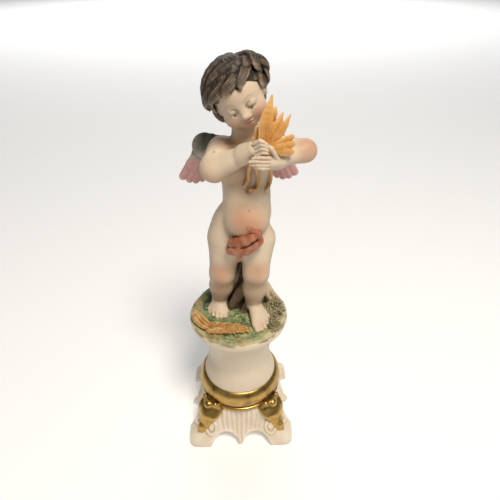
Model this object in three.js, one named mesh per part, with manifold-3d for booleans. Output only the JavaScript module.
// A painted bisque-porcelain putto hugging a bunch of maize, on a grassy disc and a gilded pedestal.
// Millimetres, +Z up, seen from -Y. The figure and its ground are one casting, the pedestal is another.
import * as THREE from 'three';
import { mergeVertices } from 'three/addons/utils/BufferGeometryUtils.js';
import Module from 'manifold-3d';

const wasm = await Module();
wasm.setup();

// Driving sizes of the pedestal
const FOOT_SIDE = 90;
const FOOT_SLAB = 5;
const FOOT_RISE = 35;
const FOOT_NECK_RADIUS = 33;
const WALL = 6;
const HOLLOW_HEIGHT = 22;
const ARCH_HEIGHT = 12.5;
const ARCH_POINT_HEIGHT = 4;
const PAD_LENGTH = 18.5;
const SCROLL_SPREAD = 26.4;
const SCROLL_MIDDLE = 15;
const SCROLL_RADIUS = 5.4;
const SCROLL_THICKNESS = 3;
const LEAF_END = 12.5;
const LEAF_BALL_RADIUS = 4;
const RING_RADIUS = 35;
const RING_HEIGHT = 17;
const BEAD_RADIUS = 2;
const COLUMN_FOOT_RADIUS = 30.5;
const COLUMN_WAIST_RADIUS = 25.2;
const COLUMN_HEIGHT = 53;
const SEAT_RADIUS = 33;

// Driving sizes of the figure and its ground
const GROUND_RADIUS = 39;
const GROUND_THICKNESS = 9.5;
const FIGURE_HEIGHT = 188;

// Fineness of the faceted forms
const COLUMN_SIDES = 40;
const FLUTES = 9;
const CARVING_CELL = 2.1;
const FIGURE_TRIANGLES = 4600;

// Heights that follow from the driving sizes
const RING_BOTTOM = FOOT_RISE + BEAD_RADIUS;
const RING_MIDDLE = RING_BOTTOM + RING_HEIGHT / 2;
const RING_TOP = RING_BOTTOM + RING_HEIGHT;
const SEAT_HEIGHT = RING_TOP + COLUMN_HEIGHT;
const GROUND_TOP = SEAT_HEIGHT + GROUND_THICKNESS;

const porcelain = new THREE.MeshStandardMaterial({ color: 0xd9c4aa, roughness: 0.55, metalness: 0 });
const whiteBisque = new THREE.MeshStandardMaterial({ color: 0xe9e0d4, roughness: 0.6, metalness: 0 });

const point = (x, y, z) => new THREE.Vector3(x, y, z);
const mix = THREE.MathUtils.lerp;
const ease = THREE.MathUtils.smoothstep;

// A closed mesh's merged vertices as a solid that can be joined and cut
function solid(geometry) {
  const bare = geometry.clone();
  bare.deleteAttribute('normal');
  bare.deleteAttribute('uv');
  const merged = mergeVertices(bare, 1e-4);
  const index = Array.from(merged.index.array);
  const triangles = [];
  for (let i = 0; i < index.length; i += 3) {
    const [a, b, c] = [index[i], index[i + 1], index[i + 2]];
    if (a !== b && b !== c && c !== a) triangles.push(a, b, c);
  }
  return new wasm.Manifold(new wasm.Mesh({
    numProp: 3,
    vertProperties: new Float32Array(merged.attributes.position.array),
    triVerts: new Uint32Array(triangles),
  }));
}

// A solid's faces as a geometry for a three.js mesh
function shell(manifold) {
  const mesh = manifold.getMesh();
  const geometry = new THREE.BufferGeometry();
  geometry.setAttribute('position', new THREE.BufferAttribute(new Float32Array(mesh.vertProperties), 3));
  geometry.setIndex(new THREE.BufferAttribute(new Uint32Array(mesh.triVerts), 1));
  geometry.computeVertexNormals();
  return geometry;
}

const joined = (solids) => solids.reduce((whole, next) => whole.add(next));

// Rings of points, each a closed loop of the same count, skinned and capped into a closed body
function lofted(rings) {
  const sides = rings[0].length;
  const points = rings.flat();
  const faces = [];
  for (let r = 0; r + 1 < rings.length; r++) {
    for (let s = 0; s < sides; s++) {
      const a = r * sides + s;
      const b = r * sides + (s + 1) % sides;
      faces.push(a, b, b + sides, a, b + sides, a + sides);
    }
  }
  for (const [row, flip] of [[0, true], [rings.length - 1, false]]) {
    const centre = points.length;
    points.push(rings[row].reduce((sum, p) => sum.add(p), point(0, 0, 0)).divideScalar(sides));
    for (let s = 0; s < sides; s++) {
      const a = row * sides + s;
      const b = row * sides + (s + 1) % sides;
      faces.push(...(flip ? [centre, b, a] : [centre, a, b]));
    }
  }
  const geometry = new THREE.BufferGeometry().setFromPoints(points);
  geometry.setIndex(faces);
  return geometry;
}

// Distance shapes for the carving: each says where it reaches and how far a point is from it
function lump(centre, radii, turn = new THREE.Quaternion()) {
  const reach = Math.max(radii.x, radii.y, radii.z);
  const back = turn.clone().invert();
  const q = point(0, 0, 0);
  return {
    box: new THREE.Box3().setFromCenterAndSize(centre, point(2 * reach, 2 * reach, 2 * reach)),
    distance(x, y, z) {
      q.set(x - centre.x, y - centre.y, z - centre.z).applyQuaternion(back);
      const near = Math.hypot(q.x / radii.x, q.y / radii.y, q.z / radii.z);
      const slope = Math.hypot(q.x / radii.x ** 2, q.y / radii.y ** 2, q.z / radii.z ** 2);
      return slope < 1e-9 ? -reach : near * (near - 1) / slope;
    },
  };
}

const ball = (centre, radius) => lump(centre, point(radius, radius, radius));

// A tapered rod with round ends; flat presses it thinner along the given normal
function limb(a, b, startRadius, endRadius, normal = null, flat = 1) {
  const axis = b.clone().sub(a);
  const length2 = axis.lengthSq();
  const reach = Math.max(startRadius, endRadius);
  return {
    box: new THREE.Box3().setFromPoints([a, b]).expandByScalar(reach),
    distance(x, y, z) {
      let [px, py, pz] = [x - a.x, y - a.y, z - a.z];
      const t = THREE.MathUtils.clamp((px * axis.x + py * axis.y + pz * axis.z) / length2, 0, 1);
      px -= t * axis.x;
      py -= t * axis.y;
      pz -= t * axis.z;
      if (normal) {
        const off = (px * normal.x + py * normal.y + pz * normal.z) * (1 / flat - 1);
        px += off * normal.x;
        py += off * normal.y;
        pz += off * normal.z;
        return (Math.hypot(px, py, pz) - mix(startRadius, endRadius, t)) * (flat + 1) / 2;
      }
      return Math.hypot(px, py, pz) - mix(startRadius, endRadius, t);
    },
  };
}

// A run of limbs along points, with a radius at each point
function chain(points, radii, normal = null, flat = 1) {
  return points.slice(1).map((p, i) => limb(points[i], p, radii[i], radii[i + 1], normal, flat));
}

// A long tapering form along a smooth curve, widest where the swell peaks
function tress(controls, thickness, steps = 5, normal = null, flat = 1) {
  const path = new THREE.CatmullRomCurve3(controls).getPoints(steps);
  const radii = path.map((_, i) => thickness * (0.35 + 0.65 * Math.sin(Math.PI * (0.2 + 0.7 * i / steps))));
  return chain(path, radii, normal, flat);
}

// A block of clay: distance shapes are added and cut with soft edges, then skinned as triangles
class Carving {
  constructor(low, high, cell) {
    this.low = low;
    this.cell = cell;
    this.count = high.clone().sub(low).divideScalar(cell).ceil().addScalar(1);
    this.field = new Float32Array(this.count.x * this.count.y * this.count.z).fill(100);
  }

  // The outer layer of the block is always air, whatever reaches past it
  clearBorder() {
    const { x: nx, y: ny, z: nz } = this.count;
    this.field.forEach((value, n) => {
      const [i, j, k] = [n % nx, Math.floor(n / nx) % ny, Math.floor(n / (nx * ny))];
      const edge = i === 0 || j === 0 || k === 0 || i === nx - 1 || j === ny - 1 || k === nz - 1;
      if (edge) this.field[n] = Math.max(value, this.cell);
    });
  }

  work(shapes, soft, blend) {
    for (const shape of [shapes].flat()) {
      const box = shape.box.clone().expandByScalar(soft + 2 * this.cell);
      const from = box.min.sub(this.low).divideScalar(this.cell).ceil().clampScalar(0, 1e4);
      const to = box.max.sub(this.low).divideScalar(this.cell).floor().min(this.count.clone().subScalar(1));
      for (let k = from.z; k <= to.z; k++) {
        for (let j = from.y; j <= to.y; j++) {
          const row = (k * this.count.y + j) * this.count.x;
          for (let i = from.x; i <= to.x; i++) {
            const d = shape.distance(this.low.x + i * this.cell, this.low.y + j * this.cell, this.low.z + k * this.cell);
            this.field[row + i] = blend(this.field[row + i], d, soft);
          }
        }
      }
    }
    return this;
  }

  add(shapes, soft = 1) {
    return this.work(shapes, soft, (a, b, k) => Math.min(a, b) - Math.max(k - Math.abs(a - b), 0) ** 2 / (4 * k));
  }

  cut(shapes, soft = 1) {
    return this.work(shapes, soft, (a, b, k) => Math.max(a, -b) + Math.max(k - Math.abs(a + b), 0) ** 2 / (4 * k));
  }

  // Each cell is split into six tetrahedra around its diagonal, so the skin is always closed
  skin() {
    this.clearBorder();
    const { x: nx, y: ny, z: nz } = this.count;
    const step = [1, nx, nx * ny];
    const orders = [[0, 1, 2], [0, 2, 1], [1, 0, 2], [1, 2, 0], [2, 0, 1], [2, 1, 0]];
    const vertices = [];
    const triangles = [];
    const known = new Map();
    const place = (n) => [n % nx, Math.floor(n / nx) % ny, Math.floor(n / (nx * ny))];
    const crossing = (a, b) => {
      const [p, q] = a < b ? [a, b] : [b, a];
      const key = p * 1e7 + (q - p);
      if (!known.has(key)) {
        const t = THREE.MathUtils.clamp(this.field[p] / (this.field[p] - this.field[q]), 0.08, 0.92);
        const [u, v] = [place(p), place(q)];
        known.set(key, vertices.length);
        vertices.push(point(...u.map((c, i) => mix(c, v[i], t))).multiplyScalar(this.cell).add(this.low));
      }
      return known.get(key);
    };
    const face = (ids, outward) => {
      const [a, b, c] = ids.map((id) => vertices[id]);
      const normal = b.clone().sub(a).cross(c.clone().sub(a));
      triangles.push(normal.dot(outward) > 0 ? ids : [ids[0], ids[2], ids[1]]);
    };
    const middle = (nodes) => nodes.reduce((sum, n) => sum.add(point(...place(n))), point(0, 0, 0)).divideScalar(nodes.length);
    for (let k = 0; k < nz - 1; k++) {
      for (let j = 0; j < ny - 1; j++) {
        for (let i = 0; i < nx - 1; i++) {
          const corner = (k * ny + j) * nx + i;
          const inside = this.field[corner] < 0;
          const far = corner + step[0] + step[1] + step[2];
          const others = [step[0], step[1], step[2], step[0] + step[1], step[0] + step[2], step[1] + step[2]];
          if (this.field[far] < 0 === inside && others.every((o) => this.field[corner + o] < 0 === inside)) continue;
          for (const [a, b] of orders) {
            const nodes = [corner, corner + step[a], corner + step[a] + step[b], far];
            const inner = nodes.filter((n) => this.field[n] < 0);
            const outer = nodes.filter((n) => this.field[n] >= 0);
            if (!inner.length || !outer.length) continue;
            const outward = middle(outer).sub(middle(inner));
            if (inner.length === 2) {
              const [p, q] = inner;
              const [r, s] = outer;
              const loop = [crossing(p, r), crossing(p, s), crossing(q, s), crossing(q, r)];
              face([loop[0], loop[1], loop[2]], outward);
              face([loop[0], loop[2], loop[3]], outward);
            } else {
              const lone = inner.length === 1 ? inner[0] : outer[0];
              face((inner.length === 1 ? outer : inner).map((n) => crossing(lone, n)), outward);
            }
          }
        }
      }
    }
    return { vertices, triangles };
  }
}

// The sum of squared distances to a set of planes, kept as ten numbers
class PlaneSum {
  constructor(numbers = new Float64Array(10)) {
    this.numbers = numbers;
  }

  static ofTriangle(a, b, c) {
    const n = b.clone().sub(a).cross(c.clone().sub(a));
    const area = n.length() / 2;
    n.normalize();
    const d = -n.dot(a);
    const terms = [n.x * n.x, n.x * n.y, n.x * n.z, n.x * d, n.y * n.y, n.y * n.z, n.y * d, n.z * n.z, n.z * d, d * d];
    return new PlaneSum(Float64Array.from(terms, (t) => t * area));
  }

  plus(other) {
    return new PlaneSum(this.numbers.map((n, i) => n + other.numbers[i]));
  }

  at({ x, y, z }) {
    const q = this.numbers;
    return q[0] * x * x + 2 * q[1] * x * y + 2 * q[2] * x * z + 2 * q[3] * x + q[4] * y * y
      + 2 * q[5] * y * z + 2 * q[6] * y + q[7] * z * z + 2 * q[8] * z + q[9];
  }

  lowest() {
    const q = this.numbers;
    const matrix = new THREE.Matrix3().set(q[0], q[1], q[2], q[1], q[4], q[5], q[2], q[5], q[7]);
    if (Math.abs(matrix.determinant()) < 1e-4) return null;
    return point(-q[3], -q[6], -q[8]).applyMatrix3(matrix.invert());
  }
}

// Thins a closed skin to a number of triangles by closing up the edges that matter least
function thin({ vertices, triangles }, target, importance) {
  const faces = triangles.map((t) => [...t]);
  const around = vertices.map(() => new Set());
  faces.forEach((face, f) => face.forEach((v) => around[v].add(f)));
  const sums = vertices.map(() => new PlaneSum());
  for (const face of faces) {
    const plane = PlaneSum.ofTriangle(...face.map((v) => vertices[v]));
    for (const v of face) sums[v] = sums[v].plus(plane);
  }
  const stamp = vertices.map(() => 0);
  const heap = [];
  const swap = (a, b) => ([heap[a], heap[b]] = [heap[b], heap[a]]);
  const push = (entry) => {
    heap.push(entry);
    for (let i = heap.length - 1; i > 0;) {
      const up = (i - 1) >> 1;
      if (heap[up].cost <= heap[i].cost) break;
      swap(i, up);
      i = up;
    }
  };
  const pop = () => {
    const top = heap[0];
    const last = heap.pop();
    if (heap.length) {
      heap[0] = last;
      for (let i = 0; ;) {
        let least = i;
        for (const child of [2 * i + 1, 2 * i + 2]) {
          if (child < heap.length && heap[child].cost < heap[least].cost) least = child;
        }
        if (least === i) break;
        swap(i, least);
        i = least;
      }
    }
    return top;
  };
  const neighbours = (v) => new Set([...around[v]].flatMap((f) => faces[f]).filter((u) => u !== v));
  const offer = (a, b) => {
    const sum = sums[a].plus(sums[b]);
    const half = vertices[a].clone().add(vertices[b]).multiplyScalar(0.5);
    const span = vertices[a].distanceTo(vertices[b]);
    let place = sum.lowest();
    if (!place || place.distanceTo(half) > span) place = half;
    const cost = (Math.max(sum.at(place), 0) + 0.002 * span ** 4) * importance(half);
    push({ a, b, place, cost, stamps: [stamp[a], stamp[b]] });
  };
  const flips = (v, gone, place) => [...around[v]].some((f) => {
    if (faces[f].includes(gone)) return false;
    const corners = faces[f].map((u) => vertices[u]);
    const moved = faces[f].map((u) => (u === v ? place : vertices[u]));
    const [before, after] = [corners, moved].map(([a, b, c]) => b.clone().sub(a).cross(c.clone().sub(a)));
    return before.dot(after) < 0.3 * before.length() * after.length() || after.length() < 1e-3;
  });
  faces.forEach(([a, b, c]) => [[a, b], [b, c], [c, a]].forEach(([u, v]) => u < v && offer(u, v)));
  let left = faces.length;
  while (left > target && heap.length) {
    const { a, b, place, stamps } = pop();
    if (stamp[a] !== stamps[0] || stamp[b] !== stamps[1] || !around[a].size || !around[b].size) continue;
    const near = neighbours(b);
    const shared = [...neighbours(a)].filter((v) => near.has(v));
    if (shared.length !== 2 || flips(a, b, place) || flips(b, a, place)) continue;
    vertices[a] = place;
    sums[a] = sums[a].plus(sums[b]);
    for (const f of [...around[b]]) {
      if (faces[f].includes(a)) {
        for (const v of faces[f]) around[v].delete(f);
        left -= 1;
      } else {
        faces[f] = faces[f].map((v) => (v === b ? a : v));
        around[a].add(f);
      }
    }
    around[b].clear();
    stamp[a] += 1;
    stamp[b] += 1;
    for (const v of neighbours(a)) offer(a, v);
  }
  const geometry = new THREE.BufferGeometry().setFromPoints(vertices);
  const kept = new Set(around.flatMap((set) => [...set]));
  geometry.setIndex([...kept].flatMap((f) => faces[f]));
  return geometry;
}

// The figure is laid out on a stand 188 units tall, feet at height 0, and carved to FIGURE_HEIGHT
const LAYOUT_HEIGHT = 188;
const FIGURE_SCALE = FIGURE_HEIGHT / LAYOUT_HEIGHT;

function carveLegs(clay) {
  const legs = [
    {
      hip: point(-7.5, 4, 66), knee: point(-11.5, 0, 39), calf: point(-13, 4, 24), ankle: point(-15, 7, 8),
      toes: [[-10.9, -9.3], [-14.1, -10.4], [-17.2, -9.9], [-20.2, -7.8], [-22.9, -4.4]],
    },
    {
      hip: point(14.5, 3, 66), knee: point(13.7, -5, 42), calf: point(12.8, -1, 24), ankle: point(11.8, 0, 8),
      toes: [[14.7, -25.6], [18, -25], [20.6, -22.4], [22.6, -18.8], [24, -14.4]],
    },
  ];
  for (const { hip, knee, calf, ankle, toes } of legs) {
    clay.add(limb(hip, knee, 13.4, 9.3), 4);
    clay.add(limb(knee, calf, 9, 8.6), 4);
    clay.add(limb(calf, ankle, 8.6, 6.3), 4);
    clay.add(ball(knee.clone().add(point(0, -4, 1)), 6), 4);
    const along = point(toes[2][0] - ankle.x, toes[2][1] - ankle.y, 0).normalize();
    clay.add(ball(ankle.clone().addScaledVector(along, -3.5).setZ(4.5), 5.4), 3);
    toes.forEach(([x, y], toe) => {
      const tip = point(x, y, 1.9).addScaledVector(along, -1.6);
      const root = tip.clone().addScaledVector(along, 0.35 * toe - 4.2).setZ(3.1);
      clay.add(limb(ankle.clone().addScaledVector(along, 2.5).setZ(7.6), root, 5.2, 2.6), 1.4);
      clay.add(limb(root, tip, toe ? 1.9 : 2.4, toe ? 1.8 : 2.3), 0.4);
    });
  }
}

function carveTorso(clay) {
  clay.add(lump(point(3.2, 4, 68), point(22, 14, 15)), 6);
  clay.add(lump(point(-4.5, 4, 77), point(13.5, 12, 17)), 6);
  clay.add(lump(point(7.5, 2, 90), point(17, 14.5, 18)), 8);
  clay.add(lump(point(7.2, -5.3, 88.4), point(15.2, 13.6, 13.6)), 3);
  clay.add(lump(point(7, 3, 116), point(16.5, 12, 20)), 8);
  clay.add(lump(point(7.6, -0.6, 103), point(14.6, 12.4, 15)), 6);
  clay.add(limb(point(-5, 5, 131), point(21, 5, 131), 9, 9), 6);
  clay.add([lump(point(0.5, -4, 124), point(8, 5, 6)), lump(point(14, -4, 124), point(8, 5, 6))], 5);
  clay.add([ball(point(-4.5, 12, 64), 10.5), ball(point(10, 12, 64), 10.5)], 4);
  clay.cut(ball(point(8.6, -18.6, 99.5), 1.6), 1.5);
}

// Both arms are raised to the chest; the hands close on the stalks, the left hand from below
function carveArms(clay) {
  const right = { shoulder: point(-8, 5, 132.5), elbow: point(-12.8, -11, 127.5), wrist: point(7.5, -18, 139.2) };
  const left = { shoulder: point(23.5, 5, 133), elbow: point(42, -9, 139), wrist: point(24, -20.5, 136) };
  for (const { shoulder, elbow, wrist } of [right, left]) {
    clay.add(limb(shoulder, elbow, 10, 8.6), 3);
    clay.add(limb(elbow, wrist, 8.4, 5.1), 3);
  }
  clay.add(lump(point(11.5, -22, 143.2), point(6, 4.6, 5.4)), 3);
  clay.add(lump(point(18, -23.5, 137.2), point(6.5, 4.6, 5.4)), 3);
  for (let finger = 0; finger < 4; finger++) {
    const start = point(13, -25.5, 148.2 - 2.7 * finger);
    clay.add(limb(start, start.clone().add(point(5.4, -1.2, -1.8 - 0.5 * finger)), 2.4, 2), 0.8);
    const under = point(15.5, -26.5, 139.1 - 2.3 * finger);
    clay.add(limb(under, under.clone().add(point(-6.6 + 0.7 * finger, 0.8, 0.1 + 0.5 * finger)), 2.4, 1.9), 0.8);
  }
  clay.add(limb(point(21.5, -24, 138.7), point(20, -27, 143.7), 2.5, 2), 1);
}

// The head hangs forward and to its left, towards the maize
const HEAD_PLACE = point(2.5, 0, 170.8);
const HEAD_TURN = new THREE.Quaternion().setFromEuler(new THREE.Euler(
  THREE.MathUtils.degToRad(17), THREE.MathUtils.degToRad(-25), THREE.MathUtils.degToRad(6)));
const inHead = (x, y, z) => point(x, y, z).applyQuaternion(HEAD_TURN).add(HEAD_PLACE);

function carveHead(clay) {
  const put = (x, y, z, rx, ry, rz) => lump(inHead(x, y, z), point(rx, ry, rz), HEAD_TURN);
  clay.add(limb(point(6.6, 3, 132), inHead(0, 0.6, -10), 8.8, 7.6), 4);
  clay.add(put(0, 1.5, 1, 15, 16.5, 15), 2);
  clay.add(put(0, -5, -6, 12.8, 12.6, 12.6), 4);
  for (const side of [-1, 1]) {
    clay.add(put(side * 6.4, -10.6, -8.6, 5.8, 5.8, 6), 4);
    clay.add(put(side * 14.4, 0, -5, 2.2, 3.4, 4.8), 1.5);
    clay.cut(put(side * 5.6, -17.8, -2.6, 3.5, 1.8, 2.2), 2);
    clay.add(put(side * 5.6, -13.2, -2.8, 3.6, 3.6, 3.2), 1);
  }
  clay.add(put(0, -12, -14.4, 4.2, 4, 3.6), 4);
  clay.add(limb(inHead(0, -16, -1.5), inHead(0, -18.8, -7), 1.7, 2), 2.5);
  clay.add([-1, 1].map((side) => put(side * 2, -17.2, -7.6, 1.5, 1.7, 1.4)), 1);
  clay.add(put(0, -16.3, -10.8, 3, 1.6, 1.1), 1);
  clay.add(put(0, -15.8, -12.9, 2.5, 1.6, 1.2), 1);
}

// Hair is combed from the crown in tiers of locks that end along the hairline and the nape
function carveHair(clay) {
  const onHair = (azimuth, rise, lift) => {
    const [a, e] = [azimuth, rise].map(THREE.MathUtils.degToRad);
    const out = point(Math.sin(a) * Math.cos(e), -Math.cos(a) * Math.cos(e), Math.sin(e));
    return inHead(out.x * (16.6 + lift) - 0.4, 2.6 + out.y * (16.6 + lift), 1.2 + out.z * (13.8 + lift));
  };
  const tiers = [
    { count: 11, from: 84, to: 34, face: 0, thickness: 3.8 },
    { count: 13, from: 52, to: 8, face: 50, thickness: 3.8 },
    { count: 15, from: 22, to: -22, face: 72, thickness: 3.6 },
    { count: 15, from: -8, to: -42, face: 98, thickness: 3.4 },
  ];
  clay.add(lump(inHead(-0.4, 4.6, 2.4), point(17.4, 15.4, 14.2), HEAD_TURN), 2);
  clay.add(lump(inHead(0, 7, -5), point(13.5, 11.5, 10), HEAD_TURN), 3);
  tiers.forEach(({ count, from, to, face, thickness }, tier) => {
    for (let lock = 0; lock < count; lock++) {
      const azimuth = 360 * (lock + 0.5 * (tier % 2)) / count - 180;
      if (Math.abs(azimuth) < face) continue;
      const sweep = 16 * Math.sin(lock * 2.4 + tier);
      const ends = [0, 0.35, 0.7, 1].map((t) => onHair(azimuth + sweep * t * t, mix(from, to, t), 0.4 + 1.2 * Math.sin(3 * t)));
      clay.add(tress(ends, thickness), 0.6);
    }
  });
  clay.add([[66, 36, 4.6], [76, 14, 4.6], [60, 4, 3.6], [92, -10, 3]].map(([a, e, r]) => ball(onHair(a, e, 1.5), r)), 1);
}

function carveWings(clay) {
  const middle = 4;
  for (const side of [-1, 1]) {
    const spread = side < 0 ? 1 : 0.92;
    const at = (out, y, h) => point(middle + side * spread * out, y, h + (side < 0 ? 0 : 2));
    const normal = point(side * -0.2, -0.95, 0.2).normalize();
    clay.add(limb(at(7, 12, 131), at(24, 17, 132), 7, 8.6, normal, 0.36), 2);
    [[41, 108.5, 2.4], [36.5, 106.5, 2.3], [32, 106, 2.2], [27.5, 107.5, 2.2]].forEach(([out, h, tip], feather) => {
      const root = at(27 - 2.6 * feather, 17.5 - feather * 0.4, 128 - feather);
      clay.add(limb(root, at(out, 21 - feather * 0.6, h), 4.6, tip, normal, 0.5), 0.7);
    });
  }
}

// A twisted loin cloth in three soft folds, its end tucked up on the left
function carveDrapery(clay) {
  clay.add(lump(point(5, -8, 70), point(11, 7, 11)), 3);
  clay.add(chain([point(-3.8, -14, 74), point(4.4, -16.5, 78), point(12.5, -16, 82.5), point(14.6, -14.5, 86), point(9.2, -16, 88.5)],
    [3.2, 4, 4.2, 3.2, 2.2]), 0.8);
  clay.add(chain([point(-5.2, -13, 65.5), point(4.3, -15.5, 68.5), point(13.9, -14, 75), point(16.6, -11.5, 79)],
    [3.6, 4.4, 3.8, 2.8]), 0.8);
  clay.add(limb(point(0.6, -11.5, 63), point(1, -12, 57.5), 3.4, 1.6), 1);
}

// Husks and leaves fan out above the hands, roots trail down the chest
function carveMaize(clay) {
  const broad = point(0.15, -0.98, -0.1).normalize();
  const leaves = [
    { path: [[18.9, -25, 145], [17.8, -25, 153], [18.4, -24.2, 162], [21.4, -21.6, 173]], radii: [2.4, 4.2, 4, 1], flat: 0.55 },
    { path: [[20.2, -24.4, 146], [22.4, -24.2, 152.4], [24.8, -23.4, 158.4], [27.4, -21.8, 163.4]], radii: [2.2, 3.2, 2.8, 1], flat: 0.55 },
    { path: [[21.2, -25.2, 145.4], [24.8, -24.8, 151.4], [28.2, -23.6, 157.2], [31.4, -22.2, 162.4]], radii: [2, 3, 2.6, 1], flat: 0.55 },
    { path: [[21, -25.4, 146], [25.4, -25.6, 147.6], [29.4, -24.4, 149], [32.6, -23, 150]], radii: [1.8, 2.6, 2.8, 2.2], flat: 0.55 },
    { path: [[21, -25.6, 144.2], [25.4, -26, 143.6], [29.4, -25.2, 143.2], [32.4, -24.2, 142.8]], radii: [1.6, 2.4, 2.8, 2.2], flat: 0.6 },
    { path: [[18, -22.4, 146], [15.6, -22.4, 149.4], [13.8, -22, 152.8], [12.9, -21, 155.8]], radii: [2.8, 3.2, 2.6, 1.4], flat: 0.6 },
  ];
  for (const { path, radii, flat } of leaves) {
    clay.add(chain(path.map((p) => point(...p)), radii, broad, flat), 0.6);
  }
  clay.add(limb(point(19, -22, 135), point(20.4, -23.5, 146), 3, 3.6), 1);
  const roots = [
    [point(9.4, -15, 132), point(8.4, -11, 122), point(6, -10.8, 115)],
    [point(13.6, -15, 132), point(14.6, -11, 117), point(10, -11.4, 112.4), point(11.2, -11, 107)],
    [point(23.8, -10, 130), point(24.2, -3.4, 118), point(20.2, -6.6, 110)],
  ];
  roots.forEach((root) => clay.add(tress(root, 1.9, 6), 0.6));
}

function carveStump(clay) {
  clay.add(chain([point(4, 15, -6), point(4, 15, 14), point(4.5, 14, 58)], [18, 12.5, 9.5]), 3);
  clay.add(limb(point(15, 13, 26), point(29, 9.5, 3), 6, 5.5), 3);
  for (let ridge = 0; ridge < 9; ridge++) {
    const turn = (ridge / 9) * 2 * Math.PI;
    const rim = (radius, h) => point(4 + Math.cos(turn) * radius, 15 + Math.sin(turn) * radius, h);
    clay.add(limb(rim(17, 0), rim(9.6, 50), 3, 1.6), 1);
  }
}

// Rough turf with a fallen cob and its husk at the front, and a leafy clump by the left foot
function carveTurf(clay) {
  clay.add(lump(point(0, 0, -4), point(35.5, 35.5, 5.4)), 1);
  clay.add([lump(point(-20, 19, -1), point(11, 10, 7.5)), lump(point(-30, -2, -1), point(7, 9, 3.4))], 2);
  clay.add(lump(point(28, -4, 1), point(7.5, 9.5, 9)), 1);
  for (let tuft = 0; tuft < 16; tuft++) {
    const turn = tuft * 2.4;
    const rise = 2 + 0.7 * tuft;
    const out = 8.4 * Math.sqrt(Math.max(1 - (rise / 14) ** 2, 0.1));
    clay.add(ball(point(28 + Math.cos(turn) * out, -4 + Math.sin(turn) * out, rise), 2.2), 0.6);
  }
  clay.add(chain([point(-22, -23.5, 2.4), point(-8, -24.4, 3.2), point(8, -23, 2)], [4.2, 4.4, 2.2]), 1);
  clay.add(chain([point(-34, -3, 2), point(-30, -12, 3), point(-24, -22, 2.6)], [3.2, 4.6, 3.8]), 1);
}

// Faces, hands and feet keep finer triangles than the broad forms
function importance(p) {
  const face = p.distanceTo(inHead(0, -16, -6)) < 15 ? 7 : 1;
  const head = p.distanceTo(HEAD_PLACE) < 27 ? 2.2 : 1;
  const hands = p.distanceTo(point(17, -24, 144)) < 14 ? 2.5 : 1;
  return face * head * hands;
}

function puttoFigure() {
  const clay = new Carving(point(-44, -42, -6), point(56, 40, 200), CARVING_CELL);
  carveStump(clay);
  carveLegs(clay);
  carveTorso(clay);
  carveWings(clay);
  carveArms(clay);
  carveHead(clay);
  carveHair(clay);
  carveDrapery(clay);
  carveMaize(clay);
  carveTurf(clay);
  const carved = thin(clay.skin(), FIGURE_TRIANGLES, importance);
  carved.scale(FIGURE_SCALE, FIGURE_SCALE, FIGURE_SCALE).translate(0, 0, GROUND_TOP);
  const rim = new THREE.Path();
  rim.moveTo(0, SEAT_HEIGHT);
  rim.lineTo(SEAT_RADIUS, SEAT_HEIGHT);
  rim.bezierCurveTo(GROUND_RADIUS - 1, SEAT_HEIGHT + 1, GROUND_RADIUS, SEAT_HEIGHT + 5, GROUND_RADIUS, GROUND_TOP - 2);
  rim.quadraticCurveTo(GROUND_RADIUS, GROUND_TOP, GROUND_RADIUS - 3, GROUND_TOP);
  rim.lineTo(0, GROUND_TOP);
  const disc = new THREE.LatheGeometry(rim.getPoints(4), COLUMN_SIDES).rotateX(Math.PI / 2);
  return shell(solid(carved).add(solid(disc)));
}

// Turned column: bead, gilded ring and a waisted drum that spreads to carry the ground
function column() {
  const profile = new THREE.Path();
  profile.moveTo(0, FOOT_RISE - 4);
  profile.lineTo(FOOT_NECK_RADIUS - 2, FOOT_RISE - 4);
  profile.absarc(FOOT_NECK_RADIUS - BEAD_RADIUS, FOOT_RISE, BEAD_RADIUS, -Math.PI / 2, Math.PI / 2, false);
  const core = COLUMN_FOOT_RADIUS - 2;
  profile.absellipse(core, RING_MIDDLE, RING_RADIUS - core, RING_HEIGHT / 2, -Math.PI / 2, Math.PI / 3, false);
  const waist = RING_TOP + COLUMN_HEIGHT * 0.36;
  profile.lineTo(COLUMN_FOOT_RADIUS, RING_TOP - 0.5);
  profile.bezierCurveTo(COLUMN_FOOT_RADIUS - 1.5, mix(RING_TOP, waist, 0.5), COLUMN_WAIST_RADIUS, waist - 6, COLUMN_WAIST_RADIUS, waist);
  profile.bezierCurveTo(COLUMN_WAIST_RADIUS, waist + 12, SEAT_RADIUS - 4, SEAT_HEIGHT - 6, SEAT_RADIUS, SEAT_HEIGHT);
  profile.lineTo(0, SEAT_HEIGHT);
  return new THREE.LatheGeometry(profile.getPoints(3), COLUMN_SIDES).rotateX(Math.PI / 2);
}

// Half the foot's side at a height, and how square its plan is there
const flare = (z) => mix(FOOT_NECK_RADIUS, FOOT_SIDE / 2, Math.max((FOOT_RISE - z) / (FOOT_RISE - FOOT_SLAB), 0) ** 2.6);
const squareness = (z) => 2 + 2.6 * ease(FOOT_RISE - z, 0, 10) + 9 * ease(FOOT_RISE - z, FOOT_RISE - FOOT_SLAB - 7, FOOT_RISE - FOOT_SLAB);

// Directions around the foot: every crest and hollow of the flutes, then the plain corners
const ACROSS = Array.from({ length: 2 * FLUTES + 1 }, (_, i) => (i / FLUTES - 1) * 0.5);
const FACE_TURNS = [...ACROSS, 0.64, 0.8, 0.92, 1].map((across) => Math.atan(across));
const FOOT_TURNS = [0, 1, 2, 3].flatMap((side) => FACE_TURNS.concat([-0.92, -0.8, -0.64].map((across) => Math.PI / 2 + Math.atan(across)))
  .map((turn, i) => ({ turn: turn + side * Math.PI / 2, flute: i < ACROSS.length ? 0.5 - i % 2 : 0 })));

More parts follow.
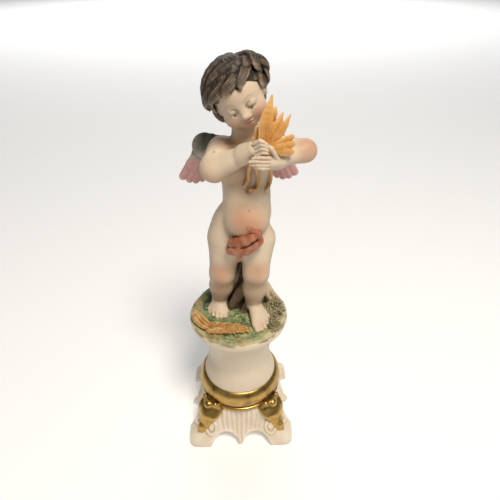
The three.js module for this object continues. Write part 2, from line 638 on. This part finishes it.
// One level of the foot's skin, fluted on its four faces and set in by a wall
function footRing(z, inset, fluting, turns = FOOT_TURNS) {
  const power = squareness(z);
  const half = Math.min(flare(z), FOOT_SIDE / 2) - inset;
  const depth = fluting * 1.7 * ease(FOOT_RISE - z, 0, 5);
  return turns.map(({ turn, flute }) => {
    const [c, d] = [Math.cos(turn), Math.sin(turn)];
    const radius = half / (Math.abs(c) ** power + Math.abs(d) ** power) ** (1 / power) + flute * depth;
    return point(radius * c, radius * d, z);
  });
}

// The opening under one face: two arches that meet in a hanging point
function archCutter() {
  const half = FOOT_SIDE / 2 - PAD_LENGTH;
  const shape = new THREE.Shape();
  shape.moveTo(-half, -5);
  shape.lineTo(-half, 0);
  shape.bezierCurveTo(-half + 2, 7, -half * 0.76, ARCH_HEIGHT, -half * 0.47, ARCH_HEIGHT);
  shape.bezierCurveTo(-half * 0.24, ARCH_HEIGHT, -half * 0.13, ARCH_POINT_HEIGHT, 0, ARCH_POINT_HEIGHT);
  shape.bezierCurveTo(half * 0.13, ARCH_POINT_HEIGHT, half * 0.24, ARCH_HEIGHT, half * 0.47, ARCH_HEIGHT);
  shape.bezierCurveTo(half * 0.76, ARCH_HEIGHT, half - 2, 7, half, 0);
  shape.lineTo(half, -5);
  const depth = FOOT_SIDE + 20;
  return new THREE.ExtrudeGeometry(shape, { depth, bevelEnabled: false, curveSegments: 5 })
    .translate(0, 0, -depth / 2).rotateX(Math.PI / 2);
}

// A gilded leaf laid down one corner of the foot, with a curled ball at its top
function cornerLeaf() {
  const steps = 8;
  const rings = [];
  for (let i = 0; i <= steps; i++) {
    const t = i / steps;
    const z = mix(RING_BOTTOM + 3, LEAF_END, t);
    const power = squareness(z);
    const radius = flare(z) * Math.SQRT2 / 2 ** (1 / power);
    const width = 8.4 * Math.sin(Math.PI * (0.3 + 0.62 * t)) + 0.6;
    const out = (across) => radius + 3.6 * (1 - 0.4 * t) * Math.cos(across * Math.PI / 2) - 1;
    const front = [-1, -0.5, 0, 0.5, 1].map((a) => point(out(a), a * width, z + 0.8));
    const back = [0.6, 0, -0.6].map((a) => point(radius - 4, a * width, z - 0.8));
    rings.push([...front, ...back].reverse());
  }
  const leaf = solid(lofted(rings).rotateZ(Math.PI / 4));
  const top = point(RING_RADIUS + 2.6, 0, RING_BOTTOM + 3).applyAxisAngle(point(0, 0, 1), Math.PI / 4);
  return leaf.add(solid(new THREE.SphereGeometry(LEAF_BALL_RADIUS, 8, 6).translate(top.x, top.y, top.z)));
}

// A round scroll standing proud beside each leaf
function scroll(side) {
  const z = SCROLL_MIDDLE;
  const reach = SCROLL_RADIUS * 0.75;
  const lean = Math.atan2(flare(z - reach) - flare(z + reach), 2 * reach);
  const ring = solid(new THREE.TorusGeometry(SCROLL_RADIUS, SCROLL_THICKNESS / 2, 4, 10));
  const eye = solid(new THREE.SphereGeometry(SCROLL_RADIUS * 0.36, 6, 3));
  return ring.add(eye).rotate([90 - THREE.MathUtils.radToDeg(lean), 0, 0])
    .translate([side * SCROLL_SPREAD, -flare(z) * 0.99, z]);
}

function pedestal() {
  const levels = [0, FOOT_SLAB, 7, 10, 14, 19, 24, 29.5, FOOT_RISE];
  const outer = solid(lofted(levels.map((z) => footRing(z, z === 0 ? 0.5 : 0, ease(z, FOOT_SLAB, FOOT_SLAB + 4)))));
  const coarse = FOOT_TURNS.filter((_, i) => i % 3 === 0);
  const inner = solid(lofted([-2, 6, 11, 16, HOLLOW_HEIGHT].map((z) => footRing(Math.max(z, 0), WALL, 0, coarse)
    .map((p) => p.setZ(z)))));
  const arch = solid(archCutter());
  const foot = outer.subtract(inner).subtract(arch).subtract(arch.rotate([0, 0, 90]));
  const leaf = cornerLeaf();
  const corners = [0, 90, 180, 270].map((turn) => leaf.rotate([0, 0, turn]));
  const scrolls = [0, 90, 180, 270].flatMap((turn) => [-1, 1].map((side) => scroll(side).rotate([0, 0, turn])));
  return shell(joined([foot, solid(column()), ...corners, ...scrolls]));
}

const statue = new THREE.Group();
const named = (name, geometry, material) => {
  const mesh = new THREE.Mesh(geometry, material);
  mesh.name = name;
  statue.add(mesh);
};
named('pedestal', pedestal(), whiteBisque);
named('putto_figure', puttoFigure(), porcelain);

// The origin is on the floor, under the middle of the whole statue's outline
const extent = new THREE.Box3().setFromObject(statue).getCenter(point(0, 0, 0));
statue.position.set(-extent.x, -extent.y, 0);

export default statue;
